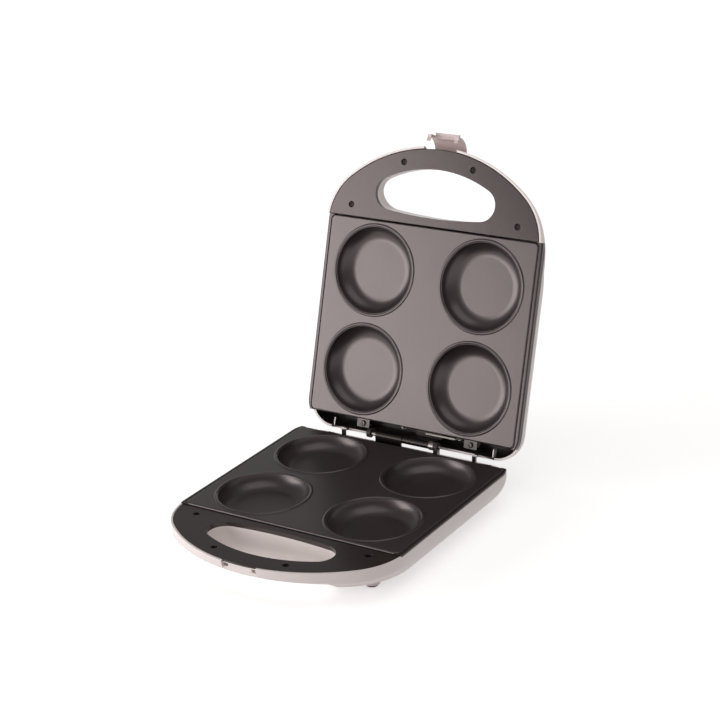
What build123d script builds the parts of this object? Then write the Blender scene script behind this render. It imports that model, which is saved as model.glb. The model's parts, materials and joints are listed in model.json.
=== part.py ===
from build123d import *
import math
import os

# A countertop cooker with a hinged lid: two mirrored halves, each with a cast cooking plate of four round wells.
# Working frame, in millimetres: x to the right, y to the back, z up. The plates' centre is at x = y = 0 and the
# parting plane, where the closed halves meet, is z = 0. A half is drawn as the lower one, with its depth below
# the parting plane, and the lid is its mirror image, turned about the hinge axis to where it rests open. The two
# housings differ a little: a pair of sizes gives the lower half's first and then the lid's.

# Sizes of the cooking plates
plate_width = 230.0
plate_depth = 196.6
plate_corner = 5.0
plate_edge_round = 1.5
plate_skin = 3.0
plate_skirt = 7.0
face_gap = 1.2
well_pitch_x = 119.6
well_pitch_y = 98.4
well_mouth_radius = 42.6
well_floor_radius = 28.0
well_depth = 12.0
bead_width = 3.0
bead_height = 0.8
bead_gap = 0.4
bead_root = 1.0
post_radius = 4.5
post_side_inset = 15.0
post_end_inset = 14.3

# Sizes of the housings
rim_gap = (3.1, -1.9)
wall = 2.2
side_clearance = 1.7
front_reach = 78.12
rear_reach = 15.2
side_rim_depth = (3.8, 8.1)
rear_rim_depth = 8.8
form_top = 3.0
shoulder_radius = 62.3
shoulder_shrink = (2.1, 0.1)
front_radius = 147.9
front_growth = (172.3, 67.4)
corner_radius = 26.4
corner_shrink = (-0.6, 0.3)
side_round = (29.3, 23.2)
side_round_start = (7.2, 9.6)
rear_lean = 0.3
nose_start = (6.2, -1.2)
nose_height = (11.2, 12.7)
nose_length = (16.4, 26.3)
tail_length = (47.8, 75.0)
tail_power = (0.7, 0.6)
rib_inset = 28.9
rib_width = 1.2
rib_high = 10.0
rib_low = 16.0
rib_reach = 10.0

# Sizes of the handle, its cover and the hand hole
cover_thickness = 4.0
cover_inset = (1.9, 2.7)
cover_play = 0.2
cover_to_plate = 1.0
cover_edge_round = 0.6
side_rail_gap = 0.4
side_rail_drop = 0.4
side_rail_round = 1.2
side_rail_skirt = 1.0
side_rail_skirt_depth = 9.0
side_rail_root = 6.0
hole_front_radius = 125.9
hole_rear_radius = 418.9
hole_front_inset = 22.22
hole_to_plate = 8.8
hole_corner = 16.0
lining_wall = 1.5
rear_cover_screw = (26.9, 12.2)
front_cover_screw = (38.0, 18.42)
boss_radius = 3.8

# Sizes of the screws, which are all alike but for their length
screw_shaft = 1.4
screw_head = 2.8
screw_head_height = 1.6
screw_recess = 0.8
screw_arm = 3.4
screw_play = 0.05
through_play = 0.15
head_play = 0.3
tip_play = 0.5
short_screw = 6.0
cover_screw = 8.0
counterbore = 2.2

# Sizes of the heating parts inside each half
tube_radius = 3.3
tube_pin_radius = 1.5
tube_end_x = 13.0
tube_end_inset = 5.3
tube_pin_length = 5.0
tube_bend = 24.0
tube_entry_bend = 12.0
tube_window_gap = 1.0
seat_gap = 0.2
sheet = 0.8
shield_clearance = 2.0
shield_depth = 26.0
shield_rear_inset = 7.3
shield_front_inset = 2.7
shield_corner = 8.0
shield_wall_top = 17.0
tab_width = 14.0
tab_x = 61.0
tab_rear_reach = 6.7
tab_front_reach = 2.7
tab_overhang = 4.0
tab_front_length = 24.0
clip_width = 8.0
clip_half_span = 9.5
clip_thickness = 1.0
clip_screw_reach = 7.2
thermostat_radius = 8.5
thermostat_height = 9.0
thermostat_ear_y = 13.5
thermostat_ear_drop = 5.0
thermostat_post = 4.0
flange_width = 9.0
blade_x = 4.0
blade_thickness = 0.8
blade_width = 6.3
blade_length = 6.0
lead_radius = 0.9
lead_depth = 13.0
lead_bend = 1.6
lead_rise = 2.5
lead_spread = 3.5
lead_step = 5.0
lead_to_hinge = 8.5
terminal_places = (42.0, 50.0)
terminal_margin = 4.0
terminal_seat_depth = 30.6
terminal_height = 11.0
terminal_front = 8.5
terminal_back = 1.5
terminal_screw = 1.2
terminal_screw_y = 6.5
terminal_screw_depth = 2.0
splice_places = (46.0, 52.0)
splice_radius = 2.2
splice_height = 9.0
fuse_radius = 2.4
fuse_length = 14.0
fuse_y = 34.0
fuse_leg_radius = 0.6
fuse_leg_length = 24.0

# Sizes of the hinge
hinge_behind_plate = 12.2
hinge_pin_radius = 2.0
hinge_pin_play = 0.05
knuckle_radius = 3.5
knuckle_play = 0.5
knuckle_length = 29.4
knuckle_middle_x = -4.1
leaf_thickness = 1.4
leaf_drop = 24.0
leaf_foot = 14.0
leaf_screw_spread = 9.0
leaf_screw_inset = 6.4
lug_width = 4.0
lug_radius = 4.2
lug_outset = 6.0
lug_root = 4.0
collar_gap = 0.5
pin_end = 2.0
pin_chamfer = 0.4
open_angle = 107.08
stop_inset = 44.9
stop_width = 4.0
stop_gap = 0.25
stop_post_top = 2.5

# Sizes of the latch
latch_width = 34.0
latch_pivot_inset = 16.42
latch_pivot_z = 18.0
latch_arc_drop = 17.2
latch_radius = 20.1
latch_thickness = 2.5
latch_end_angle = 209.6
latch_barrel = 3.4
latch_pin_radius = 1.5
latch_pin_chamfer = 0.3
latch_travel = 25.0
latch_play = 0.6
latch_hook_width = 4.0
latch_hook_angle = 22.0
latch_hook_reach = 1.9
latch_hook_tip = 0.8
latch_hook_rake = 0.7
latch_hook_root = 4.6
latch_tab_reach = 4.6
latch_tab_root = 3.0
latch_tab_slope = 25.0
latch_ear = 3.0
latch_ear_wall = 2.4
latch_ear_root = 5.0
channel_gap = 1.0
channel_depth = 3.2
nose_margin = 4.0
ledge_depth = 4.6
ledge_length = 2.7
slot_roof = 1.2
slot_height = 3.4
slot_depth = 3.6

# Sizes of the feet, the cord inlet, the vents and the lamps
front_foot = (34.9, 4.3)
rear_foot = (30.9, 12.3)
foot_radius = 5.5
foot_chamfer = 0.6
foot_boss_radius = 7.5
foot_recess = 1.8
foot_boss_drop = 1.9
foot_proud = 2.6
cord_inset = 34.9
cord_depth = 20.0
cord_hole = 6.5
cord_bore = 3.6
cord_flange = 9.0
cord_flange_thickness = 2.4
cord_pad = 10.5
cord_pad_height = 8.0
cord_pad_depth = 10.0
cord_pad_wall = 2.0
bush_proud = 0.5
bush_neck_root = 7.0
bush_neck_tip = 5.5
bush_neck_length = 4.0
vent_count = 7
vent_pitch = 11.0
vent_width = 3.5
vent_length = 26.0
vent_y = 30.0
lamp_x = 14.0
lamp_y = -52.0
lamp_barrel = 4.5
lamp_barrel_end = 1.2
lamp_flange = 6.0
lamp_flange_thickness = 1.4
lamp_edge_round = 1.0
lamp_radius = 2.6
lamp_play = 0.15
lamp_pocket = 1.0
lamp_height = 4.0
lamp_tip_round = 1.2

# Places that follow from the sizes
face = -face_gap
back = face - plate_skin
bowl_bottom = face - well_depth - plate_skin
half_width = plate_width / 2 + side_clearance + wall
front = -plate_depth / 2 - front_reach
rear = plate_depth / 2 + rear_reach
depth = [start + size for start, size in zip(side_round_start, side_round)]
rail_depth = [start + size for start, size in zip(nose_start, nose_height)]
floor = [wall - size for size in depth]
cover_top = [-gap for gap in rim_gap]
cover_bottom = [top - cover_thickness for top in cover_top]
post_side_x = plate_width / 2 - post_side_inset
post_end_y = plate_depth / 2 - post_end_inset
rib_x = half_width - rib_inset
stop_x = half_width - stop_inset
side_rim_front = -plate_depth / 2 - cover_to_plate / 2
side_rim_rear = plate_depth / 2 + side_rail_gap + cover_play
hole_front_y = front + hole_front_inset
hole_rear_y = -plate_depth / 2 - hole_to_plate
tube_z = bowl_bottom - seat_gap - tube_radius
tube_end_y = plate_depth / 2 - tube_end_inset
shield_bottom = -shield_depth
shield_top = shield_bottom + sheet
shield_rear_y = plate_depth / 2 - shield_rear_inset
shield_front_y = shield_front_inset - plate_depth / 2
clip_x = well_pitch_x / 2
ear_z = back - thermostat_ear_drop
thermostat_bottom = back - seat_gap - thermostat_height
hinge_y = plate_depth / 2 + hinge_behind_plate
lead_run_y = hinge_y - lead_to_hinge
tab_z = -shield_wall_top
tab_rear_y = plate_depth / 2 + tab_rear_reach
tab_front_y = -plate_depth / 2 - tab_front_reach
latch_pivot_y = front + latch_pivot_inset
channel_x = latch_width / 2 + channel_gap
channel_face = front + channel_depth
ledge_rear = channel_face + ledge_length
nose_x = channel_x + nose_margin
slot_top = -ledge_depth - slot_roof
foot_boss_depth = depth[0] + foot_boss_drop
table_depth = foot_boss_depth + foot_proud
cord_x = half_width - cord_inset
terminal_seat = -terminal_seat_depth
terminal_span = (terminal_places[0] - terminal_margin, terminal_places[1] + terminal_margin)
terminal_front_y = lead_run_y - terminal_front
terminal_back_y = lead_run_y + terminal_back
pilot = screw_shaft + screw_play
through = screw_shaft + through_play
over = 1.0
above = form_top + over
both = (-1, 1)
well_places = [(sx * well_pitch_x / 2, sy * well_pitch_y / 2) for sx in both for sy in both]
rear_spot = (half_width - rear_cover_screw[0], -plate_depth / 2 - rear_cover_screw[1])
front_spot = (front_cover_screw[0], front + front_cover_screw[1])
cover_screw_spots = [(sx * x, y) for sx in both for x, y in (rear_spot, front_spot)]
front_foot_spot = (half_width - front_foot[0], front_foot[1] - plate_depth / 2)
rear_foot_spot = (half_width - rear_foot[0], plate_depth / 2 - rear_foot[1])
foot_spots = [(sx * x, y) for sx in both for x, y in (front_foot_spot, rear_foot_spot)]


def block(x0, x1, y0, y1, z0, z1):
    """A box between two corners."""
    return Pos((x0 + x1) / 2, (y0 + y1) / 2, (z0 + z1) / 2) * Box(x1 - x0, y1 - y0, z1 - z0)


def rod(radius, x, y, z0, z1):
    """An upright cylinder between two heights."""
    return Pos(x, y, (z0 + z1) / 2) * Cylinder(radius, abs(z1 - z0))


def cross_rod(radius, y, z, x0, x1):
    """A cylinder along x."""
    return Pos((x0 + x1) / 2, y, z) * Rot(0, 90, 0) * Cylinder(radius, x1 - x0)


def long_rod(radius, x, z, y0, y1):
    """A cylinder along y."""
    return Pos(x, (y0 + y1) / 2, z) * Rot(90, 0, 0) * Cylinder(radius, y1 - y0)


def joined(pieces):
    """One body made of several overlapping ones."""
    pieces = list(pieces)
    whole = pieces[0]
    for piece in pieces[1:]:
        whole = whole + piece
    return whole


def group(pieces):
    """Separate solids kept together in one node."""
    return Compound(children=[solid for piece in pieces for solid in piece.solids()])


def turned(edges):
    """The solid swept by a profile in the x-z plane that turns once about z."""
    return revolve(Plane.XZ * make_face(edges), Axis.Z)


def swept_wire(points, radius, bends):
    """A round rod or wire along straight runs joined by arcs."""
    path = FilletPolyline(*points, radius=bends)
    start = Plane(origin=path @ 0, z_dir=path % 0)
    return sweep(start * Circle(radius), path)


# The housings' outline
def plan(upper, inset, side, nose, z):
    """A half's D-shaped outline at one height: how far the sides and the nose are drawn in from the rim's outline."""
    share = (nose - inset) / tail_length[upper]
    width = half_width - side
    tip = front + nose
    back_y = rear - inset - rear_lean * (side - inset)
    shoulder = shoulder_radius - inset - shoulder_shrink[upper] * share
    bow = front_radius - inset + front_growth[upper] * share
    corner = corner_radius - inset - corner_shrink[upper] * (side - inset)
    bow_y = tip + bow
    shoulder_x = width - shoulder
    shoulder_y = bow_y - math.sqrt((bow - shoulder) ** 2 - shoulder_x**2)
    reach = bow / math.hypot(shoulder_x, shoulder_y - bow_y)
    meet_x = shoulder_x * reach
    meet_y = bow_y + (shoulder_y - bow_y) * reach
    half = math.atan2(shoulder_y - bow_y, shoulder_x) / 2
    mid_x = shoulder_x + shoulder * math.cos(half)
    mid_y = shoulder_y + shoulder * math.sin(half)
    cut = corner * (1 - math.sqrt(0.5))
    edges = [
        ThreePointArc((-meet_x, meet_y), (0, tip), (meet_x, meet_y)),
        ThreePointArc((meet_x, meet_y), (mid_x, mid_y), (width, shoulder_y)),
        Line((width, shoulder_y), (width, back_y - corner)),
        ThreePointArc((width, back_y - corner), (width - cut, back_y - cut), (width - corner, back_y)),
        Line((width - corner, back_y), (corner - width, back_y)),
        ThreePointArc((corner - width, back_y), (cut - width, back_y - cut), (-width, back_y - corner)),
        Line((-width, back_y - corner), (-width, shoulder_y)),
        ThreePointArc((-width, shoulder_y), (-mid_x, mid_y), (-meet_x, meet_y)),
    ]
    return Pos(0, 0, z) * make_face(edges)


def side_inset(upper, down, inset):
    """How far the side has curved in at a depth: a quarter circle below an upright band."""
    radius = side_round[upper] - inset
    below = min(max(0.0, down - side_round_start[upper]), radius)
    return inset + radius - math.sqrt(radius**2 - below**2)


def nose_inset(upper, down, inset):
    """How far the handle's nose has drawn in at a depth: an upright band, an elliptical nose, then a flat tail."""
    start = nose_start[upper]
    rail = rail_depth[upper] - inset
    length = nose_length[upper] - inset
    if down <= start:
        return inset
    if down <= rail:
        share = (down - start) / (rail - start)
        return inset + length * (1 - math.sqrt(max(0.0, 1 - share**2)))
    share = min(1.0, (down - rail) / (depth[upper] - inset - rail))
    return inset + length + (tail_length[upper] - nose_length[upper]) * share ** tail_power[upper]


def section(upper, inset, down):
    """The housing's outline at a depth."""
    return plan(upper, inset, side_inset(upper, down, inset), nose_inset(upper, down, inset), -down)


def form(upper, inset, top):
    """A housing's smooth outer form, or with an inset the space inside its wall."""
    start = nose_start[upper]
    rail = rail_depth[upper] - inset
    low = depth[upper] - inset
    levels = [-top, (start - top) / 2, start]
    levels += [start + share * (rail - start) for share in (0.4, 0.75, 1.0)]
    levels += [rail + share * (low - rail) for share in (0.12, 0.3, 0.5, 0.7, 0.86, 0.96, 1.0)]
    return loft([section(upper, inset, down) for down in levels])


def hole_outline(grow):
    """The hand hole's outline, grown outwards by an amount."""
    ahead = Pos(0, hole_front_y + hole_front_radius) * Circle(hole_front_radius + grow)
    behind = Pos(0, hole_rear_y - hole_rear_radius) * Circle(hole_rear_radius + grow)
    lens = ahead & behind
    return fillet(lens.vertices(), hole_corner + grow)


outer_form = [form(upper, 0.0, form_top) for upper in (False, True)]
inner_form = [form(upper, wall, above) for upper in (False, True)]


# Screws and the holes that they go in
def screw(x, y, z, length, up=True):
    """A pan-head screw whose head rests at z, with its shaft pointing down, or up when it is driven from below."""
    head = rod(screw_head, 0, 0, 0, screw_head_height)
    head = fillet(head.edges().group_by(Axis.Z)[-1], screw_head_height / 2)
    cross = Box(screw_arm, screw_recess, 2 * screw_recess) + Box(screw_recess, screw_arm, 2 * screw_recess)
    body = head - Pos(0, 0, screw_head_height) * cross + rod(screw_shaft, 0, 0, -length, 0)
    turn = Rot(0, 0, 0) if up else Rot(180, 0, 0)
    return Pos(x, y, z) * turn * body


def short_screws(upper):
    """The short screws inside a half: what each one holds, its place, and the height of its head's seat."""
    middle = leaf_middle(upper)
    leaf_y = hinge_y - knuckle_radius - leaf_foot + leaf_screw_inset
    spots = [("shield", sx * post_side_x, 0.0, shield_bottom) for sx in both]
    spots += [("shield", 0.0, sy * post_end_y, shield_bottom) for sy in both]
    spots += [("tab", sx * tab_x, y, tab_z) for sx in both for y in (tab_front_y, tab_rear_y)]
    spots += [("clip", sx * clip_x + side * clip_screw_reach, 0.0, tube_z) for sx in both for side in both]
    spots += [("thermostat", 0.0, sy * thermostat_ear_y, ear_z) for sy in both]
    spots += [("leaf", middle + side * leaf_screw_spread, leaf_y, -leaf_drop) for side in both]
    return spots


# What each kind of short screw clamps, and how thick that is below or above its seat
clamped = {"shield": 0.0, "tab": sheet, "clip": clip_thickness, "thermostat": clip_thickness, "leaf": leaf_thickness}
into_housing = ("tab", "leaf")


def holes_through(body, upper, kinds):
    """The body with holes for the shafts of some kinds of short screw."""
    for kind, x, y, z in short_screws(upper):
        if kind in kinds:
            body = body - rod(through, x, y, z - 2 * leaf_thickness - sheet, z + 2 * over)
    return body


def inner_screws(upper):
    screws = []
    for kind, x, y, z in short_screws(upper):
        up = kind in into_housing
        seat = z if up else z - clamped[kind]
        screws.append(screw(x, y, seat, short_screw, up))
    return group(screws)


# Cooking plate
def well_cut():
    """The space of one well, with its flat floor and its wall turned up in an arc."""
    run = well_mouth_radius - well_floor_radius
    radius = (run**2 + well_depth**2) / (2 * well_depth)
    half = math.atan2(run, radius - well_depth) / 2
    mid = (well_floor_radius + radius * math.sin(half), face - well_depth + radius * (1 - math.cos(half)))
    low = (well_floor_radius, face - well_depth)
    lip = (well_mouth_radius, face)
    above = face + bead_height + over
    edges = [
        Line((0, face - well_depth), low),
        ThreePointArc(low, mid, lip),
        Line(lip, (well_mouth_radius, above)),
        Line((well_mouth_radius, above), (0, above)),
        Line((0, above), (0, face - well_depth)),
    ]
    return turned(edges)


def well_body():
    """The metal round one well: the same profile one skin thickness further out."""
    run = well_mouth_radius - well_floor_radius
    inner = (run**2 + well_depth**2) / (2 * well_depth)
    radius = inner + plate_skin
    full = math.acos((radius - well_depth - plate_skin) / radius)
    low = (well_floor_radius, bowl_bottom)
    mid = (well_floor_radius + radius * math.sin(full / 2), bowl_bottom + radius * (1 - math.cos(full / 2)))
    lip = (well_floor_radius + radius * math.sin(full), face)
    edges = [
        Line((0, bowl_bottom), low),
        ThreePointArc(low, mid, lip),
        Line(lip, (0, face)),
        Line((0, face), (0, bowl_bottom)),
    ]
    return turned(edges)


def bead():
    """The raised rounded ring round a well's mouth."""
    inner = well_mouth_radius + bead_gap
    outer = inner + bead_width
    root = face - bead_root
    edges = [
        ThreePointArc((inner, face), ((inner + outer) / 2, face + bead_height), (outer, face)),
        Line((outer, face), (outer, root)),
        Line((outer, root), (inner, root)),
        Line((inner, root), (inner, face)),
    ]
    return turned(edges)


def cooking_plate():
    """The cast plate: a skirted slab with four wells, posts for the shield and seats for clips and thermostat."""
    slab = extrude(RectangleRounded(plate_width, plate_depth, plate_corner), -plate_skirt)
    slab = fillet(slab.edges().group_by(Axis.Z)[-1], plate_edge_round)
    rebate = 2 * plate_skin
    pocket = RectangleRounded(plate_width - rebate, plate_depth - rebate, plate_corner - plate_skin)
    body = Pos(0, 0, face) * slab - Pos(0, 0, back) * extrude(pocket, -plate_skirt)
    posts = [rod(post_radius, sx * post_side_x, 0, shield_top, back) for sx in both]
    posts += [rod(post_radius, 0, sy * post_end_y, shield_top, back) for sy in both]
    posts += [rod(thermostat_post, 0, sy * thermostat_ear_y, ear_z, back) for sy in both]
    for sx in both:
        x = sx * clip_x
        posts.append(block(x - clip_half_span, x + clip_half_span, -clip_width / 2, clip_width / 2, tube_z, back))
    body = joined([body] + posts)
    body = joined([body] + [Pos(x, y, 0) * well_body() for x, y in well_places])
    body = joined([body] + [Pos(x, y, 0) * bead() for x, y in well_places])
    for x, y in well_places:
        body = body - Pos(x, y, 0) * well_cut()
    for sx in both:
        body = body - long_rod(tube_radius + seat_gap, sx * clip_x, tube_z, -clip_width, clip_width)
    for kind, x, y, z in short_screws(False):
        if kind not in into_housing:
            tip = z - clamped[kind] + short_screw + tip_play
            body = body - rod(pilot, x, y, z, tip)
    return body


# Heating parts
def heating_element():
    """The sheathed tube bent to pass under all four wells, with a thinner cold pin at each end."""
    x = well_pitch_x / 2
    y = well_pitch_y / 2
    points = [(tube_end_x, tube_end_y), (tube_end_x, y), (x, y), (x, -y)]
    points += [(-px, py) for px, py in reversed(points)]
    path = [(px, py, tube_z) for px, py in points]
    bends = [tube_entry_bend, tube_bend, tube_bend, tube_bend, tube_bend, tube_entry_bend]
    tube = swept_wire(path, tube_radius, bends)
    pin_y = tube_end_y + tube_pin_length
    return joined([tube] + [long_rod(tube_pin_radius, sx * tube_end_x, tube_z, tube_end_y, pin_y) for sx in both])


def element_clips():
    """Two bent steel straps that hold the tube up against its seats."""
    half = clip_width / 2
    inner = tube_radius + seat_gap
    clips = []
    for sx in both:
        x = sx * clip_x
        ears = block(x - clip_half_span, x + clip_half_span, -half, half, tube_z - clip_thickness, tube_z)
        ring = long_rod(inner + clip_thickness, x, tube_z, -half, half)
        ring = ring & block(x - clip_half_span, x + clip_half_span, -half, half, tube_z - 2 * inner, tube_z)
        clips.append(ears + ring - long_rod(inner, x, tube_z, -clip_width, clip_width))
    return group([holes_through(clip, False, ("clip",)) for clip in clips])


def shield_form(upper, shrink, low, high):
    """The space inside the shield's outline: the housing's outline at that depth, cut straight before and behind."""
    gap = shield_clearance + shrink
    side = side_inset(upper, shield_depth, wall) + gap
    nose = nose_inset(upper, shield_depth, wall) + gap
    whole = extrude(plan(upper, wall, side, nose, low), high - low)
    whole = whole & block(-half_width, half_width, shield_front_y + shrink, shield_rear_y - shrink, low, high)
    corners = whole.edges().filter_by(Axis.Z).sort_by(Axis.Y)[-2:]
    return fillet(corners, shield_corner - shrink)


def heat_shield(upper):
    """The folded sheet tray under the element, with four tabs that carry it, and the plate, in the housing."""
    outside = shield_form(upper, 0.0, shield_bottom, tab_z)
    inside = shield_form(upper, sheet, shield_top, 0.0)
    tabs = []
    for sx in both:
        x0 = sx * tab_x - tab_width / 2
        x1 = sx * tab_x + tab_width / 2
        tabs.append(block(x0, x1, shield_rear_y - sheet, tab_rear_y + tab_overhang, tab_z - sheet, tab_z))
        front_tab = block(x0, x1, tab_front_y - tab_overhang, tab_front_y + tab_front_length, tab_z - sheet, tab_z)
        tabs.append(front_tab - inside)
    body = joined([outside - inside] + tabs)
    window = tube_radius + tube_window_gap
    for sx in both:
        x = sx * tube_end_x
        y0 = shield_rear_y - sheet - over
        y1 = shield_rear_y + over
        body = body - long_rod(window, x, tube_z, y0, y1)
        body = body - block(x - window, x + window, y0, y1, tube_z, 0)
    return holes_through(body, False, ("shield", "tab"))


def thermostat():
    """The snap-disc thermostat against the plate's back, with its flange and two blade terminals."""
    can = rod(thermostat_radius, 0, 0, thermostat_bottom, back - seat_gap)
    flange = extrude(SlotOverall(2 * thermostat_ear_y + flange_width, flange_width, rotation=90), clip_thickness)
    half = blade_thickness / 2
    edge = blade_width / 2
    low = thermostat_bottom - blade_length
    body = can + Pos(0, 0, ear_z - clip_thickness) * flange
    for sx in both:
        body = body + block(sx * blade_x - half, sx * blade_x + half, -edge, edge, low, thermostat_bottom)
    return holes_through(body, False, ("thermostat",))


def leads(ends, supply_z):
    """The insulated leads of one half: two from its supply point, and one between thermostat and element."""
    beside = blade_x + blade_thickness / 2 + lead_radius
    blade_z = thermostat_bottom - blade_length / 2
    pin_y = tube_end_y + tube_pin_length
    near_y = lead_run_y - lead_spread
    channel = tube_end_x + lead_rise
    high_z = lead_rise - lead_depth
    first = [
        (tube_end_x, pin_y, tube_z),
        (tube_end_x, lead_run_y, tube_z),
        (tube_end_x, lead_run_y, -lead_depth),
        (ends[0], lead_run_y, -lead_depth),
        (ends[0], lead_run_y, supply_z),
    ]
    second = [
        (ends[1], near_y, supply_z),
        (ends[1], near_y, high_z),
        (channel, near_y, high_z),
        (channel, 0, high_z),
        (channel, 0, blade_z),
        (beside, 0, blade_z),
    ]
    third = [
        (-tube_end_x, pin_y, tube_z),
        (-tube_end_x, lead_run_y, tube_z),
        (-tube_end_x, lead_run_y, -lead_depth),
        (-channel, lead_run_y - lead_step, -lead_depth),
        (-channel, 0, -lead_depth),
        (-channel, 0, blade_z),
        (-beside, 0, blade_z),
    ]
    return group([swept_wire(route, lead_radius, [lead_bend] * (len(route) - 2)) for route in (first, second, third)])


# Handle cover
def handle_cover(upper):
    """The dark D-shaped cover of the handle, round the hand hole, with its two rails along the plate's sides."""
    edge = cover_inset[upper]
    top = cover_top[upper]
    low = cover_bottom[upper]
    rear_edge = -plate_depth / 2 - cover_to_plate
    cover = extrude(plan(upper, edge, edge, edge, low), cover_thickness)
    cover = cover & block(-half_width, half_width, front, rear_edge, low, top)
    cover = fillet(cover.edges().group_by(Axis.Z)[-1], cover_edge_round)
    cover = joined([cover, side_rails(upper, rear_edge)])
    cover = cover - Pos(0, 0, top + over) * extrude(hole_outline(0.0), -cover_thickness - 2 * over)
    cover = cover - nose_ledge(upper, cover_play)
    for x, y in cover_screw_spots:
        cover = cover - rod(screw_head + head_play, x, y, top - counterbore, top + over)
        cover = cover - rod(through, x, y, low - over, top)
    return cover


def side_rails(upper, cover_rear):
    """The rails over the housing's side rims, each on a thin skirt that joins it to the cover."""
    inner = plate_width / 2 + side_rail_gap
    outer = inner + side_rail_skirt
    end_y = plate_depth / 2 + side_rail_gap
    start_y = side_rim_front + cover_play
    root_y = cover_rear - side_rail_root
    high = face - side_rail_drop
    low = cover_play - side_rim_depth[upper]
    bottom = -side_rail_skirt_depth
    cap = loft([section(upper, 0.0, -low), section(upper, 0.0, -high)])
    cap = fillet(cap.edges().group_by(Axis.Z)[-1], side_rail_round)
    cap = cap & block(-half_width, half_width, start_y, end_y, low, high)
    opening = RectangleRounded(2 * inner, 2 * end_y, plate_corner + side_rail_gap)
    cap = cap - Pos(0, 0, low - over) * extrude(opening, high - low + 2 * over)
    room = form(upper, wall + cover_play, above)
    pieces = [cap]
    for sx in both:
        x0, x1 = sorted((sx * inner, sx * outer))
        pieces.append(room & block(x0, x1, root_y, plate_depth / 2 - plate_corner, bottom, high))
    rails = joined(pieces)
    return rails - block(-half_width, half_width, root_y - over, start_y, cover_top[upper] - cover_edge_round, above)


def cover_screws(upper):
    return group([screw(x, y, cover_top[upper] - counterbore, cover_screw) for x, y in cover_screw_spots])


# Housing
def housing(upper):
    """One moulded half shell, with the hand hole's lining, screw bosses, hinge lug, stops, and latch channel."""
    deep = depth[upper]
    shape = outer_form[upper]
    lining = Pos(0, 0, cover_bottom[upper]) * extrude(hole_outline(lining_wall), -deep)
    inside = [rod(boss_radius, x, y, -deep, cover_bottom[upper]) for x, y in cover_screw_spots]
    for kind, x, y, z in short_screws(upper):
        if kind in into_housing:
            inside.append(rod(boss_radius, x, y, -deep, z - clamped[kind]))
    inside.append(block(-nose_x, nose_x, front, hole_front_y + boss_radius, -deep, cover_bottom[upper]))
    for sx in both:
        middle = sx * rib_x
        rib = block(middle - rib_width / 2, middle + rib_width / 2, rear - rib_reach, rear, -rib_low, -rib_high)
        inside.append(rib)
    if not upper:
        low_x, high_x = terminal_span
        inside.append(block(low_x, high_x, terminal_front_y, terminal_back_y, -deep, terminal_seat))
    solids = [shape - inner_form[upper], lining & shape] + [piece & shape for piece in inside]
    if upper:
        solids.append(latch_ears())
    else:
        low = -side_round_start[upper]
        solids += [rod(foot_boss_radius, x, y, -foot_boss_depth, low) - inner_form[upper] for x, y in foot_spots]
        solids.append(cord_mount())
    body = joined(solids) - rim_cut(upper)
    body = joined([body, stop_ribs(upper), hinge_lug(upper), nose_ledge(upper, 0.0) & shape])
    body = body - Pos(0, 0, above) * extrude(hole_outline(0.0), -deep - above - over)
    body = body - latch_channel(upper)
    for x, y in cover_screw_spots:
        tip = cover_top[upper] - counterbore - cover_screw - tip_play
        body = body - rod(pilot, x, y, tip, cover_top[upper])
    for kind, x, y, z in short_screws(upper):
        if kind in into_housing:
            body = body - rod(pilot, x, y, z - short_screw - tip_play, 0)
    reach = knuckle_play + knuckle_length + lug_outset + lug_width + over
    body = body - cross_rod(
        hinge_pin_radius + hinge_pin_play, hinge_y, 0, knuckle_middle_x - reach, knuckle_middle_x + reach
    )
    if upper:
        for sx in both:
            body = body - rod(lamp_barrel + screw_play, sx * lamp_x, lamp_y, -deep - over, floor[upper] + over)
        return body
    for x, y in foot_spots:
        body = body - rod(foot_radius + screw_play, x, y, -foot_boss_depth - over, -foot_boss_depth + foot_recess)
    body = body - long_rod(cord_hole, cord_x, -cord_depth, rear - 2 * cord_pad_depth, rear + cord_pad_depth)
    for index in range(vent_count):
        x = (index - (vent_count - 1) / 2) * vent_pitch
        slot = SlotOverall(vent_length, vent_width, rotation=90)
        body = body - Pos(x, vent_y, -deep - over) * extrude(slot, wall + 2 * over)
    return body


def rim_cut(upper):
    """What is cut from the top of a shell: its rim's levels round the cover, at the sides and behind the plate."""
    wide = half_width + over
    edge = cover_inset[upper] - cover_play
    cut = block(-wide, wide, front - over, side_rim_front + over, cover_top[upper], above)
    cut = cut + block(-wide, wide, side_rim_front, side_rim_rear, -side_rim_depth[upper], above)
    cut = cut + block(-wide, wide, side_rim_rear - over, rear + over, -rear_rim_depth, above)
    seat = extrude(plan(upper, edge, edge, edge, cover_bottom[upper]), cover_thickness + over)
    return cut + (seat & block(-wide, wide, front, side_rim_front + over, cover_bottom[upper], above))


def nose_ledge(upper, grow):
    """The ledge under the cover's tip, where the latch's channel is, grown by an amount at its sides and behind."""
    return block(-nose_x - grow, nose_x + grow, front - grow, ledge_rear + grow, -depth[upper], -ledge_depth)


def cord_mount():
    """The flat pad in the rear wall that the cord's bush sits in."""
    pad = block(
        cord_x - cord_pad,
        cord_x + cord_pad,
        rear - cord_pad_depth,
        rear + bush_proud,
        -cord_depth - cord_pad_height,
        -cord_depth + cord_pad_height,
    )
    return pad - form(False, wall + cord_pad_wall, above)


def leaf_middle(upper):
    """The middle of a half's hinge knuckle: the lower half has the left one, the lid the right one."""
    way = 1 if upper else -1
    return knuckle_middle_x + way * (knuckle_length / 2 + knuckle_play)


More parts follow.
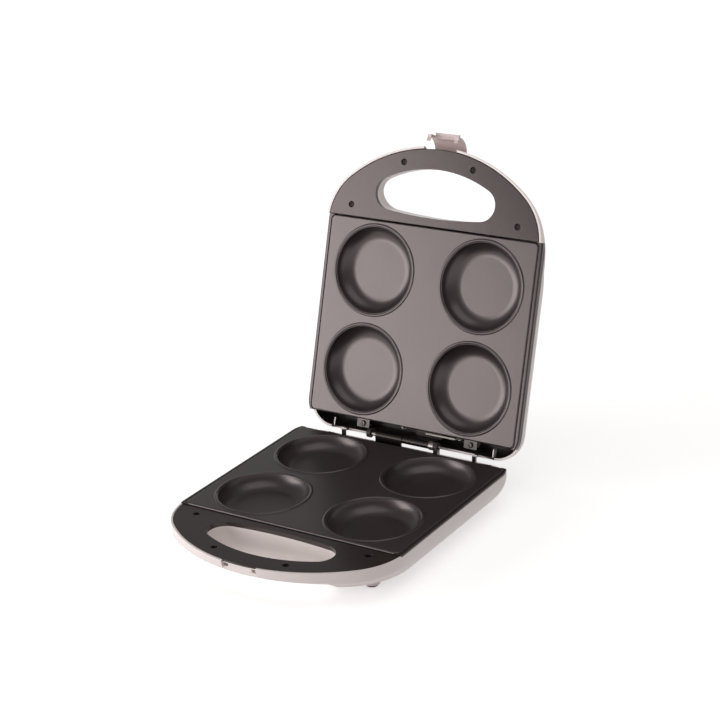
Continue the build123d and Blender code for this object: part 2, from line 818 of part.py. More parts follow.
def hinge_lug(upper):
    """The moulded lug that carries the pin's end, at the far end from the half's own knuckle."""
    way = -1 if upper else 1
    inner = knuckle_middle_x + way * (knuckle_play + knuckle_length + lug_outset)
    x0, x1 = sorted((inner, inner + way * lug_width))
    low = -rear_rim_depth - lug_root
    barrel = cross_rod(lug_radius, hinge_y, 0, x0, x1)
    return barrel + block(x0, x1, hinge_y - lug_radius, rear - wall / 2, low, 0)


def stop_ribs(upper):
    """Short ribs on the rear rim that meet when the lid is fully open."""
    outer = rear - hinge_y
    turn = math.radians(open_angle)
    reach = (outer + stop_gap - outer * math.cos(turn)) / math.sin(turn)
    top = -reach if upper else -stop_post_top
    low = -rear_rim_depth - over
    half = stop_width / 2
    return joined([block(sx * stop_x - half, sx * stop_x + half, rear - wall, rear, low, top) for sx in both])


def latch_ears():
    """The two ears on the lid's nose that carry the latch pin, drawn below the plane as the half is."""
    radius = latch_pin_radius + latch_ear_wall
    low = latch_ear_root - rail_depth[True]
    ears = []
    for sx in both:
        x0, x1 = sorted((sx * channel_x, sx * (channel_x + latch_ear)))
        foot = block(x0, x1, latch_pivot_y - radius, latch_pivot_y + radius, -latch_pivot_z, low)
        ears.append(cross_rod(radius, latch_pivot_y, -latch_pivot_z, x0, x1) + foot)
    return joined(ears)


def latch_channel(upper):
    """The channel down the nose that the latch lies in, with its pin hole in the lid and its catches below."""
    cut = block(-channel_x, channel_x, front - over, channel_face, -depth[upper], above)
    cut = cut + block(-channel_x, channel_x, front - over, ledge_rear, -ledge_depth, above)
    if upper:
        end = channel_x + latch_ear + over
        cut = cut + cross_rod(latch_barrel + latch_play, latch_pivot_y, -latch_pivot_z, -channel_x, channel_x)
        return cut + cross_rod(latch_pin_radius + screw_play, latch_pivot_y, -latch_pivot_z, -end, end)
    outer = latch_width / 2
    for sx in both:
        x0, x1 = sorted((sx * (outer - latch_hook_width - latch_play), sx * (outer + latch_play)))
        cut = cut + block(x0, x1, front, channel_face + slot_depth, slot_top - slot_height, slot_top)
    return cut


# Hinge leaves and pin
def hinge_leaf(upper):
    """A steel leaf: its rolled knuckle round the pin, a flange down into the half and a foot with two screws."""
    middle = leaf_middle(upper)
    x0 = middle - knuckle_length / 2
    x1 = middle + knuckle_length / 2
    inner = hinge_y - knuckle_radius
    outer = inner + leaf_thickness
    low = -leaf_drop - leaf_thickness
    leaf = cross_rod(knuckle_radius, hinge_y, 0, x0, x1)
    leaf = leaf + block(x0, x1, inner, outer, low, 0) + block(x0, x1, inner - leaf_foot, outer, low, -leaf_drop)
    leaf = leaf - cross_rod(hinge_pin_radius + hinge_pin_play, hinge_y, 0, x0 - over, x1 + over)
    return holes_through(leaf, upper, ("leaf",))


def hinge_pin():
    """The steel pin through both knuckles and both lugs."""
    reach = knuckle_play + knuckle_length + lug_outset + lug_width + pin_end
    pin = cross_rod(hinge_pin_radius, hinge_y, 0, knuckle_middle_x - reach, knuckle_middle_x + reach)
    return chamfer(pin.edges().filter_by(GeomType.CIRCLE), pin_chamfer)


def pin_collar():
    """The bright retaining collar on the pin, between the lid's knuckle and the lower half's lug."""
    knuckle_end = knuckle_middle_x + knuckle_play + knuckle_length
    x0 = knuckle_end + collar_gap
    x1 = knuckle_end + lug_outset - collar_gap
    ring = cross_rod(lug_radius, hinge_y, 0, x0, x1)
    return ring - cross_rod(hinge_pin_radius + screw_play, hinge_y, 0, x0 - over, x1 + over)


# Latch
def on_arc(radius, angle):
    """A point of the latch's side view, from its arc's centre: y and z in the working frame."""
    turn = math.radians(angle)
    return (latch_pivot_y + radius * math.cos(turn), latch_pivot_z - latch_arc_drop + radius * math.sin(turn))


def latch_band(start, end):
    """The strap's side view between two angles."""
    outer = latch_radius
    inner = latch_radius - latch_thickness
    middle = (start + end) / 2
    edges = [
        ThreePointArc(on_arc(outer, start), on_arc(outer, middle), on_arc(outer, end)),
        Line(on_arc(outer, end), on_arc(inner, end)),
        ThreePointArc(on_arc(inner, end), on_arc(inner, middle), on_arc(inner, start)),
        Line(on_arc(inner, start), on_arc(outer, start)),
    ]
    return Plane.YZ * make_face(edges)


def latch_clip():
    """The curved latch, closed: a barrel on the pin, an arched strap, a finger tab and two hooks."""
    half = latch_width / 2
    middle = latch_radius - latch_thickness / 2
    strap_end = latch_end_angle - latch_hook_angle
    clip = extrude(latch_band(90, strap_end), half, both=True)
    clip = clip + cross_rod(latch_barrel, latch_pivot_y, latch_pivot_z, -half, half)
    slope = math.radians(latch_tab_slope)
    root = on_arc(middle, strap_end - latch_tab_root)
    tip = (root[0] - latch_tab_reach * math.cos(slope), root[1] - latch_tab_reach * math.sin(slope))
    rise_y = latch_thickness * math.sin(slope)
    rise_z = latch_thickness * math.cos(slope)
    tab = Polyline(root, tip, (tip[0] - rise_y, tip[1] + rise_z), (root[0] - rise_y, root[1] + rise_z), close=True)
    clip = clip + extrude(Plane.YZ * make_face(tab), half - latch_hook_width, both=True)
    reach = channel_face + latch_hook_reach
    top = slot_top - latch_play - latch_hook_rake
    nib = Polyline(
        on_arc(middle, latch_end_angle - latch_hook_root),
        (reach, top),
        (reach, top - latch_hook_tip),
        on_arc(latch_radius - latch_thickness, latch_end_angle),
        on_arc(middle, latch_end_angle),
        close=True,
    )
    for sx in both:
        side = Pos(sx * (half - latch_hook_width / 2), 0, 0)
        clip = clip + side * extrude(latch_band(strap_end, latch_end_angle), latch_hook_width / 2, both=True)
        clip = clip + side * extrude(Plane.YZ * make_face(nib), latch_hook_width / 2, both=True)
    bore = latch_pin_radius + hinge_pin_play
    return clip - cross_rod(bore, latch_pivot_y, latch_pivot_z, -half - over, half + over)


def latch_pin():
    reach = channel_x + latch_ear
    pin = cross_rod(latch_pin_radius, latch_pivot_y, latch_pivot_z, -reach, reach)
    return chamfer(pin.edges().filter_by(GeomType.CIRCLE), latch_pin_chamfer)


# Feet, inlet, terminals and lamps
def rubber_feet():
    feet = []
    for x, y in foot_spots:
        foot = rod(foot_radius, x, y, -table_depth, -foot_boss_depth + foot_recess)
        feet.append(chamfer(foot.edges().group_by(Axis.Z)[0], foot_chamfer))
    return group(feet)


def cord_bush():
    """The rubber bush of the cord inlet, with a flange outside the rear wall and a neck behind it."""
    outside = rear + bush_proud
    inside = outside - bush_proud - wall - cord_pad_wall
    flange_end = outside + cord_flange_thickness
    neck_end = flange_end + bush_neck_length
    bush = long_rod(cord_hole - screw_play, cord_x, -cord_depth, inside, outside)
    bush = bush + long_rod(cord_flange, cord_x, -cord_depth, outside, flange_end)
    neck = Cone(bush_neck_root, bush_neck_tip, bush_neck_length)
    bush = bush + Pos(cord_x, flange_end + bush_neck_length / 2, -cord_depth) * Rot(-90, 0, 0) * neck
    return bush - long_rod(cord_bore, cord_x, -cord_depth, inside - over, neck_end + over)


def terminal_block():
    """The block where the inlet and the leads meet, on its seat behind the shield."""
    top = terminal_seat + terminal_height
    low_x, high_x = terminal_span
    body = block(low_x, high_x, terminal_front_y, terminal_back_y, terminal_seat, top)
    for x in terminal_places:
        body = body - rod(terminal_screw, x, lead_run_y - terminal_screw_y, top - terminal_screw_depth, top + over)
    return body


def thermal_fuse():
    """The sleeved fuse along the plate's back, between two wells."""
    z = back - seat_gap - fuse_radius
    can = long_rod(fuse_radius, 0, z, fuse_y - fuse_length / 2, fuse_y + fuse_length / 2)
    return can + long_rod(fuse_leg_radius, 0, z, fuse_y - fuse_leg_length / 2, fuse_y + fuse_leg_length / 2)


def lamp_lens(side):
    """A lamp's window in the lid's top, drawn below the plane as the half is."""
    x = side * lamp_x
    outside = -depth[True]
    inside = floor[True]
    lens = rod(lamp_flange, x, lamp_y, outside - lamp_flange_thickness, outside)
    lens = lens + rod(lamp_barrel, x, lamp_y, outside, inside + lamp_barrel_end)
    dome = fillet(lens.edges().group_by(Axis.Z)[0], lamp_edge_round)
    return dome - rod(lamp_radius + lamp_play, x, lamp_y, inside - lamp_pocket, inside + 2 * lamp_barrel_end)


def neon_lamps():
    """The two small lamps standing in their windows."""
    low = floor[True] - lamp_pocket + seat_gap
    lamps = []
    for side in both:
        lamp = rod(lamp_radius, side * lamp_x, lamp_y, low, low + lamp_height)
        lamps.append(fillet(lamp.edges().group_by(Axis.Z)[0], lamp_tip_round))
    return group(lamps)


def splice_caps():
    """The closed caps where the lid's leads meet its supply wires."""
    first, second = splice_places
    low = floor[True]
    caps = [rod(splice_radius, first, lead_run_y, low, low + splice_height)]
    caps.append(rod(splice_radius, second, lead_run_y - lead_spread, low, low + splice_height))
    return group(caps)


def half_parts(upper):
    """The pieces that both halves have, as the lower half."""
    places = splice_places if upper else terminal_places
    supply_z = floor[True] + splice_height if upper else terminal_seat + terminal_height
    return {
        "housing": housing(upper),
        "handle_cover": handle_cover(upper),
        "cover_screws": cover_screws(upper),
        "cooking_plate": cooking_plate(),
        "heating_element": heating_element(),
        "element_clips": element_clips(),
        "heat_shield": heat_shield(upper),
        "thermostat": thermostat(),
        "inner_screws": inner_screws(upper),
        "hinge_leaf": hinge_leaf(upper),
        "leads": leads(places, supply_z),
    }


base_parts = {"lower_" + name: piece for name, piece in half_parts(False).items()}
base_parts["hinge_pin"] = hinge_pin()
base_parts["hinge_pin_collar"] = pin_collar()
base_parts["rubber_feet"] = rubber_feet()
base_parts["cord_bush"] = cord_bush()
base_parts["terminal_block"] = terminal_block()
base_parts["thermal_fuse"] = thermal_fuse()

lid_parts = {"upper_" + name: piece for name, piece in half_parts(True).items()}
lid_parts["power_lamp_lens"] = lamp_lens(-1)
lid_parts["ready_lamp_lens"] = lamp_lens(1)
lid_parts["neon_lamps"] = neon_lamps()
lid_parts["splice_caps"] = splice_caps()

open_lid = Pos(0, hinge_y, 0) * Rot(-open_angle, 0, 0) * Pos(0, -hinge_y, 0)
lid_parts = {name: open_lid * mirror(piece, Plane.XY) for name, piece in lid_parts.items()}
lid_parts["latch_pin"] = open_lid * latch_pin()
pivot = Pos(0, latch_pivot_y, latch_pivot_z)
swung = pivot * Rot(-latch_travel, 0, 0) * Pos(0, -latch_pivot_y, -latch_pivot_z)
latch_parts = {"latch_clip": open_lid * swung * latch_clip()}

# The origin goes to the table, under the middle of the open cooker's outline.
every = {**base_parts, **lid_parts, **latch_parts}
boxes = [piece.bounding_box() for piece in every.values()]
low_y = min(box.min.Y for box in boxes)
high_y = max(box.max.Y for box in boxes)
to_row = Pos(0, -(low_y + high_y) / 2, table_depth)
os.makedirs("parts", exist_ok=True)
for name, piece in every.items():
    export_step(to_row * piece, "parts/" + name + ".step")

print("plate centre y", round(-(low_y + high_y) / 2, 3), "outline y", round(low_y, 2), round(high_y, 2))
print("hinge axis y, z", round(hinge_y - (low_y + high_y) / 2, 3), table_depth)
latch_at = to_row * open_lid * Pos(0, latch_pivot_y, latch_pivot_z)
print("latch axis", [round(value, 3) for value in latch_at.position])
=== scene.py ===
# %% [markdown]
# # A countertop cooker with a hinged lid
#
# The construction model already holds every piece at its real size and place, so nothing is moved here.
# What is left is what the eye reads after the shape: how each surface was made and what light does on it.
# Everything below is in metres, in the model's own frame: x to the right, y to the hinge, z up, with the table
# at z = 0.

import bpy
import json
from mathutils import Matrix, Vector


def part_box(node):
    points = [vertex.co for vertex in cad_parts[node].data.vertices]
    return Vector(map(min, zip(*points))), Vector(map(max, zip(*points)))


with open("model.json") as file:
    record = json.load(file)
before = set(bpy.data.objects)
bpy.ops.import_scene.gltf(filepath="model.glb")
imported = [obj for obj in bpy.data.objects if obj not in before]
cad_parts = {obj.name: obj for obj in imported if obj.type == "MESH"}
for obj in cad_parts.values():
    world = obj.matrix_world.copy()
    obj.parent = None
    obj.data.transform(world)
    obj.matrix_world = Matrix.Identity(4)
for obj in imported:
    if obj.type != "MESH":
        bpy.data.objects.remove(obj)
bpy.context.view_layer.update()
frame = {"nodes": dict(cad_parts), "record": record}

# %% [markdown]
# ## Colours and nodes
#
# Colours are written as sRGB hex codes, as a paint card gives them. Blender's shaders work on linear light, so
# one function turns a code into linear numbers. A second small function adds a shader node, sets its properties
# and fills its sockets, with a value or with a link from another node.

# %% Helpers for colours and nodes
import json
import math

import bpy
from mathutils import Matrix, Vector

MM = 0.001


def colour(code):
    """An sRGB hex code as linear red, green, blue and alpha."""
    channels = [int(code[i:i + 2], 16) / 255 for i in (1, 3, 5)]
    linear = [c / 12.92 if c <= 0.04045 else ((c + 0.055) / 1.055) ** 2.4 for c in channels]
    return (*linear, 1.0)


def add(tree, kind, inputs=None, **settings):
    """Adds one node. Settings are its properties; inputs are its sockets' values, or sockets to link to them."""
    made = tree.nodes.new(kind)
    for name, value in settings.items():
        setattr(made, name, value)
    for name, value in (inputs or {}).items():
        if isinstance(value, bpy.types.NodeSocket):
            tree.links.new(value, made.inputs[name])
        else:
            made.inputs[name].default_value = value
    return made


def new_material(name):
    """An empty material with its principled shader and the coordinates of the piece itself, in metres."""
    made = bpy.data.materials.new(name)
    made.use_nodes = True
    tree = made.node_tree
    tree.nodes.clear()
    shader = add(tree, "ShaderNodeBsdfPrincipled")
    add(tree, "ShaderNodeOutputMaterial", {"Surface": shader.outputs["BSDF"]})
    place = add(tree, "ShaderNodeTexCoord").outputs["Object"]
    return made, tree, shader, place


def noise(tree, place, length, detail, **inputs):
    """Noise whose waves have a real length."""
    sockets = {"Vector": place, "Scale": 1 / length, "Detail": detail, **inputs}
    return add(tree, "ShaderNodeTexNoise", sockets).outputs["Fac"]


def two_tones(tree, factor, light, dark):
    """A mix of two close colours."""
    tint = add(tree, "ShaderNodeMix", {"Factor": factor}, data_type="RGBA")
    tint.inputs["A"].default_value = colour(light)
    tint.inputs["B"].default_value = colour(dark)
    return tint.outputs["Result"]


EDGE = 0.4 * MM
EDGE_SAMPLES = 4


def soft_edge(tree):
    """The surface's direction with its hard edges rounded by a little, as moulds and paint leave them."""
    return add(tree, "ShaderNodeBevel", {"Radius": EDGE}, samples=EDGE_SAMPLES).outputs["Normal"]


print("a middle grey, #808080, is", round(colour("#808080")[0], 3), "in linear light")

# %% [markdown]
# ## Moulded plastic: the white shells and the latch
#
# The shells of such a cooker are injection-moulded ABS or polypropylene from a polished tool. The surface is
# smooth and slightly wavy, as cooling plastic shrinks a little round its ribs, and it has a broad, soft
# highlight. Noise at two real sizes gives that: a slow wave some 9 mm long for the shrinkage, and a fine grain
# of 0.6 mm, which is coarser than the real one so that it shows at this distance.

# %% The white housing material
SHRINK_WAVE = 9 * MM
PATCH = 4 * SHRINK_WAVE
MOULD_GRAIN = 0.6 * MM
GLOSS_SPREAD = 0.05
PLASTIC_IOR = 1.5


def moulded(name, light, dark, roughness, grain, grain_depth, wave_depth):
    """Moulded plastic: two close colours in slow patches, a shrinkage wave and a fine grain."""
    made, tree, shader, place = new_material(name)
    tint = two_tones(tree, noise(tree, place, PATCH, 2.0), light, dark)
    waves = noise(tree, place, SHRINK_WAVE, 1.0)
    grains = noise(tree, place, grain, 3.0)
    gloss = add(tree, "ShaderNodeMapRange", {
        "Value": grains, "To Min": roughness - GLOSS_SPREAD, "To Max": roughness + GLOSS_SPREAD})
    swell = add(tree, "ShaderNodeBump", {
        "Height": waves, "Distance": wave_depth, "Strength": 1.0, "Normal": soft_edge(tree)})
    fine = add(tree, "ShaderNodeBump", {
        "Height": grains, "Distance": grain_depth, "Strength": 1.0, "Normal": swell.outputs["Normal"]})
    tree.links.new(tint, shader.inputs["Base Color"])
    tree.links.new(gloss.outputs["Result"], shader.inputs["Roughness"])
    tree.links.new(fine.outputs["Normal"], shader.inputs["Normal"])
    shader.inputs["IOR"].default_value = PLASTIC_IOR
    return made


white_plastic = moulded("white_abs", "#E9DEDB", "#E2D6D3", 0.34, MOULD_GRAIN, 0.01 * MM, 0.02 * MM)
latch_plastic = moulded("latch_abs", "#D2BFBC", "#C9B6B3", 0.34, MOULD_GRAIN, 0.01 * MM, 0.02 * MM)
print("made", white_plastic.name, "and", latch_plastic.name)

# %% [markdown]
# ## Moulded plastic with a textured tool: the dark covers
#
# The plates round the hand holes are a heat-resistant plastic, dark brown-black, moulded against a spark-eroded
# tool. That leaves a fine even grain, which spreads the light into a satin sheen. The sheen is a little warm.

# %% The dark cover material
COVER_GRAIN = 0.5 * MM
WARM = (1.0, 0.85, 0.85, 1.0)
dark_plastic = moulded("dark_pbt", "#2E2725", "#2A2321", 0.2, COVER_GRAIN, 0.03 * MM, 0.01 * MM)
dark_plastic.node_tree.nodes["Principled BSDF"].inputs["Specular Tint"].default_value = WARM
print("made", dark_plastic.name)

# %% [markdown]
# ## Non-stick coating on cast aluminium: the cooking plates
#
# The plates are cast aluminium, blasted and then sprayed with a dark PTFE coating that holds a little mica. The
# blasting leaves a soft pebbled grain under the coating, and the mica lifts its reflection above that of plain
# plastic, so the plate shines satin grey where a light stands in its mirror direction and is nearly black
# elsewhere.

# %% The coating material
PEBBLE = 0.7 * MM
PEBBLE_DEPTH = 0.03 * MM
SPRAY_CLOUD = 30 * MM
COATING_IOR = 1.68
coating, tree, shader, place = new_material("ptfe_coating")
clouds = noise(tree, place, SPRAY_CLOUD, 3.0)
pebbles = noise(tree, place, PEBBLE, 4.0, Roughness=0.6)
gloss = add(tree, "ShaderNodeMapRange", {"Value": clouds, "To Min": 0.3, "To Max": 0.34})
relief = add(tree, "ShaderNodeBump", {
    "Height": pebbles, "Distance": PEBBLE_DEPTH, "Strength": 1.0, "Normal": soft_edge(tree)})
tree.links.new(two_tones(tree, clouds, "#302A29", "#2A2524"), shader.inputs["Base Color"])
tree.links.new(gloss.outputs["Result"], shader.inputs["Roughness"])
tree.links.new(relief.outputs["Normal"], shader.inputs["Normal"])
shader.inputs["IOR"].default_value = COATING_IOR
shader.inputs["Specular Tint"].default_value = WARM
print("made", coating.name, "with", len(tree.nodes), "shader nodes")

# %% [markdown]
# ## Metals
#
# The hinge leaves are blackened steel, the pin and its collar are bright zinc on steel. Inside are zinc-plated
# sheet and the element's annealed steel sheath. All of them are fine-grained metals, so one recipe makes them:
# a colour, a roughness, and streaks from rolling or turning.

# %% Metals
ROLL_STREAK = 0.4 * MM
STREAK_DEPTH = 0.004 * MM
ALONG_X = (0.05, 1.0, 1.0)


def metal(name, code, roughness):
    """Rolled or turned metal with fine streaks along x."""
    made, tree, shader, place = new_material(name)
    stretched = add(tree, "ShaderNodeMapping", {"Vector": place, "Scale": ALONG_X})
    streaks = noise(tree, stretched.outputs["Vector"], ROLL_STREAK, 3.0)
    gloss = add(tree, "ShaderNodeMapRange", {
        "Value": streaks, "To Min": roughness - 0.06, "To Max": roughness + 0.08})
    relief = add(tree, "ShaderNodeBump", {"Height": streaks, "Distance": STREAK_DEPTH, "Strength": 1.0})
    tree.links.new(gloss.outputs["Result"], shader.inputs["Roughness"])
    tree.links.new(relief.outputs["Normal"], shader.inputs["Normal"])
    shader.inputs["Base Color"].default_value = colour(code)
    shader.inputs["Metallic"].default_value = 1.0
    return made


black_steel = metal("blackened_steel", "#3B3634", 0.38)
bright_zinc = metal("bright_zinc", "#9A9390", 0.34)
zinc_sheet = metal("zinc_sheet", "#5F5956", 0.48)
sheath_steel = metal("annealed_sheath", "#6E6A66", 0.45)
black_screw = metal("blackened_screw", "#2A2726", 0.4)
print("made the metals, so there are", len(bpy.data.materials), "materials")

# %% [markdown]
# ## Rubber and moulded small parts
#
# The feet, the cord's bush, the lamps and the parts inside come from the same recipe as the shells. Only their
# colours, grain and gloss differ: rubber is rough, a lens is nearly polished.

# %% Rubber and moulded small parts
RUBBER_GRAIN = 0.8 * MM
WEAVE = 0.5 * MM
rubber = moulded("black_rubber", "#1E1C1C", "#242222", 0.6, RUBBER_GRAIN, 0.04 * MM, 0.0)
bush_rubber = moulded("grey_rubber", "#CFC4C1", "#C6BAB7", 0.55, RUBBER_GRAIN, 0.03 * MM, 0.0)
phenolic = moulded("brown_phenolic", "#4A2E20", "#3F281C", 0.35, MOULD_GRAIN, 0.01 * MM, 0.01 * MM)
polyamide = moulded("white_polyamide", "#E6E1D6", "#DDD8CC", 0.45, MOULD_GRAIN, 0.01 * MM, 0.01 * MM)
glass_sleeve = moulded("glass_silicone_sleeve", "#D8D2C4", "#C9C2B2", 0.6, WEAVE, 0.06 * MM, 0.0)
red_lens = moulded("red_polycarbonate", "#B3221C", "#A51E19", 0.12, MOULD_GRAIN, 0.0, 0.01 * MM)
green_lens = moulded("green_polycarbonate", "#3E9A4C", "#388E46", 0.12, MOULD_GRAIN, 0.0, 0.01 * MM)
lamp_glass = moulded("lamp_glass", "#E8D8C8", "#E2D0BE", 0.08, MOULD_GRAIN, 0.0, 0.0)
print("made the small parts' finishes, so there are", len(bpy.data.materials), "materials")

# %% [markdown]
# ## Giving each piece its finish
#
# The record lists a material slot for each node, so the finishes are handed out by slot. The model's meshes come
# in as small flat triangles. Marking them smooth, except across edges sharper than 30 degrees, lets light roll
# over the curves and still break at the real edges.

# %% Hand out the finishes
FINISHES = {
    "white_housing": white_plastic,
    "latch_plastic": latch_plastic,
    "dark_cover": dark_plastic,
    "dark_screws": black_screw,
    "coated_plate": coating,
    "element_sheath": sheath_steel,
    "sheet_steel": zinc_sheet,
    "thermostat_body": phenolic,
    "plain_screws": zinc_sheet,
    "hinge_steel": black_steel,
    "lead_sleeve": glass_sleeve,
    "pin_steel": bright_zinc,
    "foot_rubber": rubber,
    "bush_rubber": bush_rubber,
    "terminal_body": polyamide,
    "fuse_sleeve": glass_sleeve,
    "red_lens": red_lens,
    "green_lens": green_lens,
    "lamp_glass": lamp_glass,
}
SHARP = math.radians(30)
for entry in frame["record"]["subparts"]:
    piece = frame["nodes"][entry["node"]]
    piece.data.materials.clear()
    piece.data.materials.append(FINISHES[entry["material_slot"]])
    piece.data.shade_smooth()
    piece.data.set_sharp_from_angle(angle=SHARP)
print("finishes given to", len(frame["nodes"]), "nodes")

# %% [markdown]
# ## The shells' inside
#
# Behind the plates one sees into the shells. Their inside gets little light and reads as black, so the faces
# that look inwards get a dark colour as painted shade, and so do the hinge lugs and the posts behind the plates,
# which stand in that recess. The lid's faces are found as if it were closed and mirrored into the base: its mesh
# is turned back about the hinge, so that one test serves both halves.

# %% Painted shade for the faces that look inwards
# Painted shade: this dark colour stands in for the shade inside the shells' recess, on white plastic.
painted_shade_plastic = moulded("painted_shade_abs", "#2A2220", "#241D1B", 0.6, MOULD_GRAIN, 0.02 * MM, 0.0)
OPEN = math.radians(107.08)
HINGE = Vector((0, 91.055, 41.0)) * MM
PARTING = 41.0 * MM
MIDDLE = Vector((0, -19.4, 26.0)) * MM
HANDLE_END = -115 * MM
PLATE_REAR = 79.5 * MM
WHITE_RIM = 9.2 * MM
WHITE_RIM_REAR = 0.6 * MM
LUG_REACH = 6.2 * MM
LUG_END = 60 * MM
POST_PLACES = (70.1 * MM, 86.1 * MM)
POST_HALF = 2.6 * MM
POST_REAR = 96 * MM
POST_DEPTH = 18 * MM
OUTWARD = 0.5
INWARD = -0.001


def laid_in_base(centre, normal):
    """The place and direction of a face of the open lid, with the lid closed and mirrored into the base."""
    turned_back = Matrix.Rotation(OPEN, 3, "X")
    centre = turned_back @ (centre - HINGE) + HINGE
    normal = turned_back @ normal
    return Vector((centre.x, centre.y, 2 * PARTING - centre.z)), Vector((normal.x, normal.y, -normal.z))


def is_painted_shade(centre, normal):
    """Whether a face gets the painted shade: it belongs to a lug or a post, or looks to the shell's inside below
    its white rim.
    """
    from_axis = math.hypot(centre.y - HINGE.y, centre.z - HINGE.z)
    if from_axis < LUG_REACH and abs(centre.x) < LUG_END:
        return True
    at_post = any(abs(abs(centre.x) - at) < POST_HALF for at in POST_PLACES)
    near_rim = WHITE_RIM_REAR < abs(centre.z - PARTING) < POST_DEPTH
    in_recess = PLATE_REAR < centre.y < POST_REAR and near_rim
    if at_post and in_recess and normal.y < OUTWARD:
        return True
    rim = WHITE_RIM_REAR if centre.y > PLATE_REAR else WHITE_RIM
    if centre.y < HANDLE_END or centre.z > PARTING - rim:
        return False
    return normal.dot(centre - MIDDLE) < INWARD


for name in ("lower_housing", "upper_housing"):
    mesh = frame["nodes"][name].data
    mesh.materials.append(painted_shade_plastic)
    painted_shade_faces = 0
    for polygon in mesh.polygons:
        centre, normal = polygon.center, polygon.normal
        if name == "upper_housing":
            centre, normal = laid_in_base(centre, normal)
        # Faces in the shaded recess take the second slot, the painted shade.
        if is_painted_shade(centre, normal):
            polygon.material_index = 1
            painted_shade_faces += 1
    print(name, "has", painted_shade_faces, "dark faces, of", len(mesh.polygons))

# %% [markdown]
# ## The camera
#
# The view was worked out from the photo: the corners of both plates and the rims of the lid's wells fix where
# the camera stood, how far it was turned, and its long lens. It looks down by about 21 degrees from the front
# right, and it is rolled by under three degrees.

# %% Camera
AZIMUTH = math.radians(32.857)
ELEVATION = math.radians(21.317)
ROLL = math.radians(-2.679)
DISTANCE = 1788 * MM
TARGET = Vector((1.1, 12.19, 153.8)) * MM
FOCAL_PIXELS = 1937.2
FRAME_PIXELS = 720
SENSOR = 36.0

back = Vector((
    math.sin(AZIMUTH) * math.cos(ELEVATION), -math.cos(AZIMUTH) * math.cos(ELEVATION), math.sin(ELEVATION)))
right = Vector((0, 0, 1)).cross(back).normalized()
up = back.cross(right)
rolled_right = math.cos(ROLL) * right + math.sin(ROLL) * up
rolled_up = -math.sin(ROLL) * right + math.cos(ROLL) * up
spot = TARGET + back * DISTANCE
camera_data = bpy.data.cameras.new("photo_camera")
camera_data.sensor_width = SENSOR
camera_data.lens = FOCAL_PIXELS / FRAME_PIXELS * SENSOR
camera = bpy.data.objects.new("photo_camera", camera_data)
bpy.context.scene.collection.objects.link(camera)
turn = Matrix((rolled_right, rolled_up, back)).transposed().to_4x4()
camera.matrix_world = Matrix.Translation(spot) @ turn
bpy.context.scene.camera = camera
print("camera at", [round(v, 3) for v in spot], "lens", round(camera_data.lens, 1), "mm")

# %% [markdown]
# ## Floor and room
#
# A photo of this kind is taken on a white sweep. The floor keeps the shadow of the cooker, and shines a little
# by itself for the camera and in mirrors, more so further out, so that it melts into the white behind it. The
# room is white near the horizon and darker above, which keeps the lower plate nearly black.

# %% Floor
FLOOR_SIZE = 14.0
GLOW_START = 0.3
GLOW_END = 2.0
GLOW_NEAR = 0.55
GLOW_FAR = 0.85


def shown(tree):
    """One for the rays that show the background: straight from the camera, off gloss or through glass."""
    path = add(tree, "ShaderNodeLightPath").outputs
    seen = add(tree, "ShaderNodeMath", {0: path["Is Camera Ray"], 1: path["Is Glossy Ray"]}, operation="MAXIMUM")
    return add(tree, "ShaderNodeMath", {
        0: seen.outputs[0], 1: path["Is Transmission Ray"]}, operation="MAXIMUM").outputs[0]


half = FLOOR_SIZE / 2
floor_mesh = bpy.data.meshes.new("floor")
corners = [(-half, -half, 0), (half, -half, 0), (half, half, 0), (-half, half, 0)]
floor_mesh.from_pydata(corners, [], [(0, 1, 2, 3)])
floor = bpy.data.objects.new("floor", floor_mesh)
bpy.context.scene.collection.objects.link(floor)
floor_paint, tree, shader, place = new_material("floor_paint")
shader.inputs["Base Color"].default_value = colour("#EDEBEA")
shader.inputs["Roughness"].default_value = 0.9
shader.inputs["Specular IOR Level"].default_value = 0.1
away = add(tree, "ShaderNodeVectorMath", {0: place}, operation="LENGTH")
sweep = add(tree, "ShaderNodeMapRange", {
    "Value": away.outputs["Value"], "From Min": GLOW_START, "From Max": GLOW_END,
    "To Min": GLOW_NEAR, "To Max": GLOW_FAR})
glow = add(tree, "ShaderNodeMath", {0: shown(tree), 1: sweep.outputs["Result"]}, operation="MULTIPLY")
shader.inputs["Emission Color"].default_value = (1, 1, 1, 1)
tree.links.new(glow.outputs[0], shader.inputs["Emission Strength"])
floor_mesh.materials.append(floor_paint)
print("floor", FLOOR_SIZE, "m square")

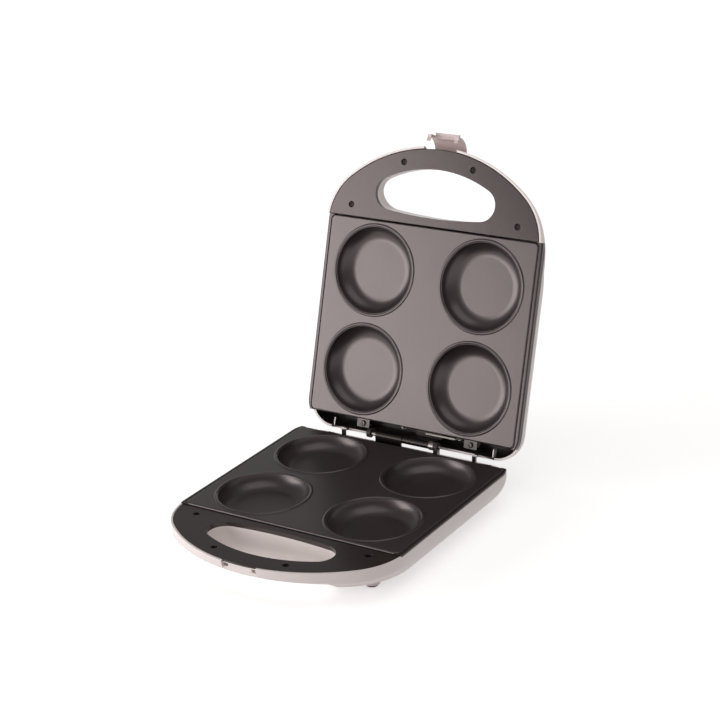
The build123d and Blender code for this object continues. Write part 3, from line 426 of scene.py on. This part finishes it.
# %% Room light
HORIZON = 0.8
OVERHEAD = 0.28
FADE_START = 0.1
FADE_END = 0.35
world = bpy.data.worlds.new("studio")
bpy.context.scene.world = world
world.use_nodes = True
tree = world.node_tree
tree.nodes.clear()
direction = add(tree, "ShaderNodeTexCoord").outputs["Generated"]
axes = add(tree, "ShaderNodeSeparateXYZ", {"Vector": direction})
white = add(tree, "ShaderNodeMapRange", {"Value": shown(tree), "To Min": HORIZON, "To Max": 1.0})
fade = add(tree, "ShaderNodeMapRange", {
    "Value": axes.outputs["Z"], "From Min": FADE_START, "From Max": FADE_END,
    "To Min": white.outputs["Result"], "To Max": OVERHEAD}, interpolation_type="SMOOTHSTEP")
backdrop = add(tree, "ShaderNodeBackground", {"Color": (1, 1, 1, 1), "Strength": fade.outputs["Result"]})
add(tree, "ShaderNodeOutputWorld", {"Surface": backdrop.outputs["Background"]})
print("the room's light falls from", HORIZON, "at the horizon to", OVERHEAD, "overhead")

# %% [markdown]
# ## Lamps
#
# There is one large soft light and little else. The dark plates tell where it was: the open lid shines grey, so
# the light stood where the lid mirrors the camera, low on the left in front. The lid's sheen fades from its left
# side to its right, which gives the light's place and turn. A weak second light from above lifts the tops.


# %% Lamps
def softbox(name, towards, aim, distance, size, radiance, spin=0.0):
    """A square area light in a direction from its aim, spun about that direction, with a stated brightness."""
    lamp = bpy.data.lights.new(name, "AREA")
    lamp.size = size
    lamp.energy = radiance * math.pi * size * size
    made = bpy.data.objects.new(name, lamp)
    bpy.context.scene.collection.objects.link(made)
    way = Vector(towards).normalized()
    made.location = Vector(aim) + way * distance
    spun = way.to_track_quat("Z", "Y").to_matrix() @ Matrix.Rotation(spin, 3, "Z")
    made.rotation_euler = spun.to_euler()
    return made


KEY_WAY = Vector((-0.504, -0.853, 0.20)).normalized()
KEY_SIDE = Vector((0, 0, 1)).cross(KEY_WAY).normalized()
KEY_RISE = KEY_WAY.cross(KEY_SIDE)
KEY_SHIFT = -0.58 * KEY_SIDE - 0.34 * KEY_RISE
KEY_DISTANCE = 2.2
KEY_SIZE = 1.7
KEY_RADIANCE = 5.3
KEY_SPIN = math.radians(43)
TOP_WAY = (0.2, -0.1, 1.0)
TOP_DISTANCE = 1.8
TOP_SIZE = 1.6
TOP_RADIANCE = 1.0
low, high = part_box("upper_cooking_plate")
key_aim = (low + high) / 2 + KEY_SHIFT
key = softbox("key", KEY_WAY, key_aim, KEY_DISTANCE, KEY_SIZE, KEY_RADIANCE, KEY_SPIN)
softbox("top", TOP_WAY, (0, 0, 0), TOP_DISTANCE, TOP_SIZE, TOP_RADIANCE)
bpy.context.scene.view_settings.view_transform = "Standard"
print("key light at", [round(v, 2) for v in key.location])
